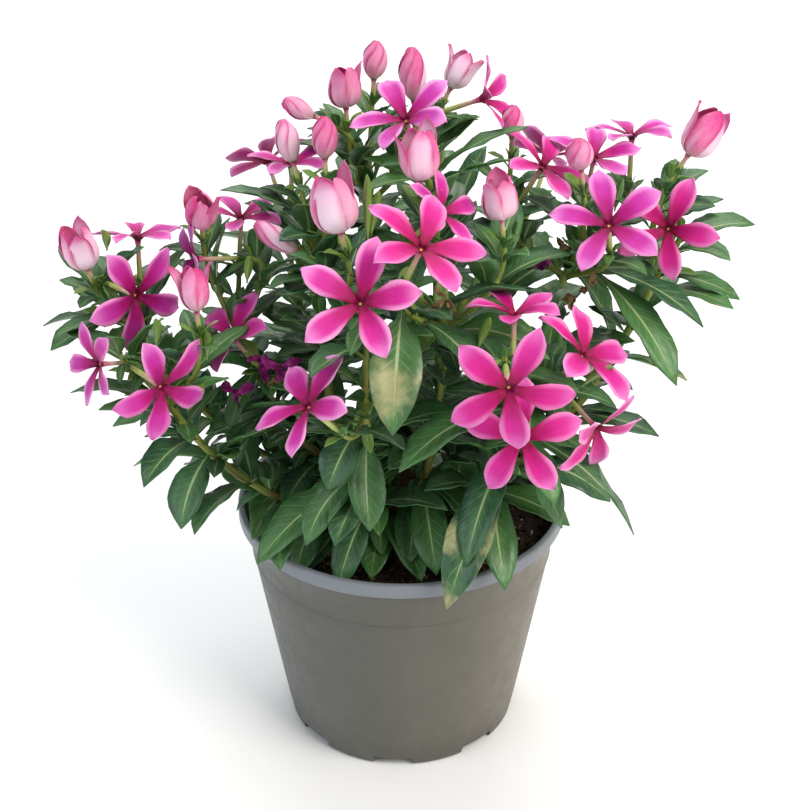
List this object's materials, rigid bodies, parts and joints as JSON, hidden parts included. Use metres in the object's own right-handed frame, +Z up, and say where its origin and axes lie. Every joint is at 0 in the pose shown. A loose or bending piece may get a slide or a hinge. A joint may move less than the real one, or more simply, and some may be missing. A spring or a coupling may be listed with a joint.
{
  "type": "potted periwinkle plant",
  "caption": "Bushy flowering periwinkle with narrow glossy leaves and five-petalled pink blooms and buds, growing from soil in a round tapered nursery pot.",
  "frame": {"origin": "middle of the pot's flat base, on the surface that it stands on", "axes": "+Z up; the fuller side of the plant, seen from the front, faces -Y; +X is to the right of someone looking at that side"},
  "size_m": [0.2849, 0.1897, 0.292],
  "materials": {
    "pot": "matte taupe grey, faintly brushed",
    "soil": "dark peat with bark crumbs",
    "wood": "rough young bark",
    "leaves": "slightly glossy dark green with a pale midrib",
    "petals": "satin magenta, paler at the edge, crimson throat",
    "buds": "satin pale pink with rose edges"
  },
  "bodies": {
    "root": {"pot": "pot", "soil": "soil", "crown": "wood", "shoot_far_left": "leaves", "shoot_left": "leaves", "shoot_low_left": "leaves", "shoot_front_left": "leaves", "shoot_upper_left": "leaves", "shoot_top_left": "leaves", "shoot_top": "leaves", "shoot_centre": "leaves", "shoot_upper_right": "leaves", "shoot_far_right": "leaves", "shoot_front_right": "leaves", "shoot_back_left": "leaves", "shoot_back_right": "leaves", "flower_left_front": "petals", "flower_left_low": "petals", "flower_front_left": "petals", "flower_centre": "petals", "flower_middle": "petals", "flower_front": "petals", "flower_front_low": "petals", "flower_right_front": "petals", "flower_right_upper": "petals", "flower_far_right": "petals", "flower_upper_right": "petals", "flower_upper_right_side": "petals", "flower_upper_right_back": "petals", "flower_top": "petals", "flower_left_centre": "petals", "flower_left_behind": "petals", "flower_left_up": "petals", "flower_left_under": "petals", "flower_front_edge": "petals", "flower_right_under": "petals", "flower_middle_behind": "petals", "flower_top_side": "petals", "flower_left_back": "petals", "flower_upper_left_edge": "petals", "flower_back_left": "petals", "flower_back_right": "petals", "half_open_far_left": "buds", "half_open_left": "buds", "half_open_left_centre": "buds", "bud_upper_left_low": "buds", "half_open_centre": "buds", "bud_upper_left": "buds", "bud_upper_centre": "buds", "half_open_top_left": "buds", "bud_top_left_side": "buds", "bud_top": "buds", "bud_top_pale": "buds", "half_open_top_right": "buds", "half_open_top": "buds", "bud_right_top": "buds", "half_open_right_centre": "buds", "bud_upper_right": "buds", "bud_far_right": "buds", "bud_back": "buds"}
  },
  "joints": []
}
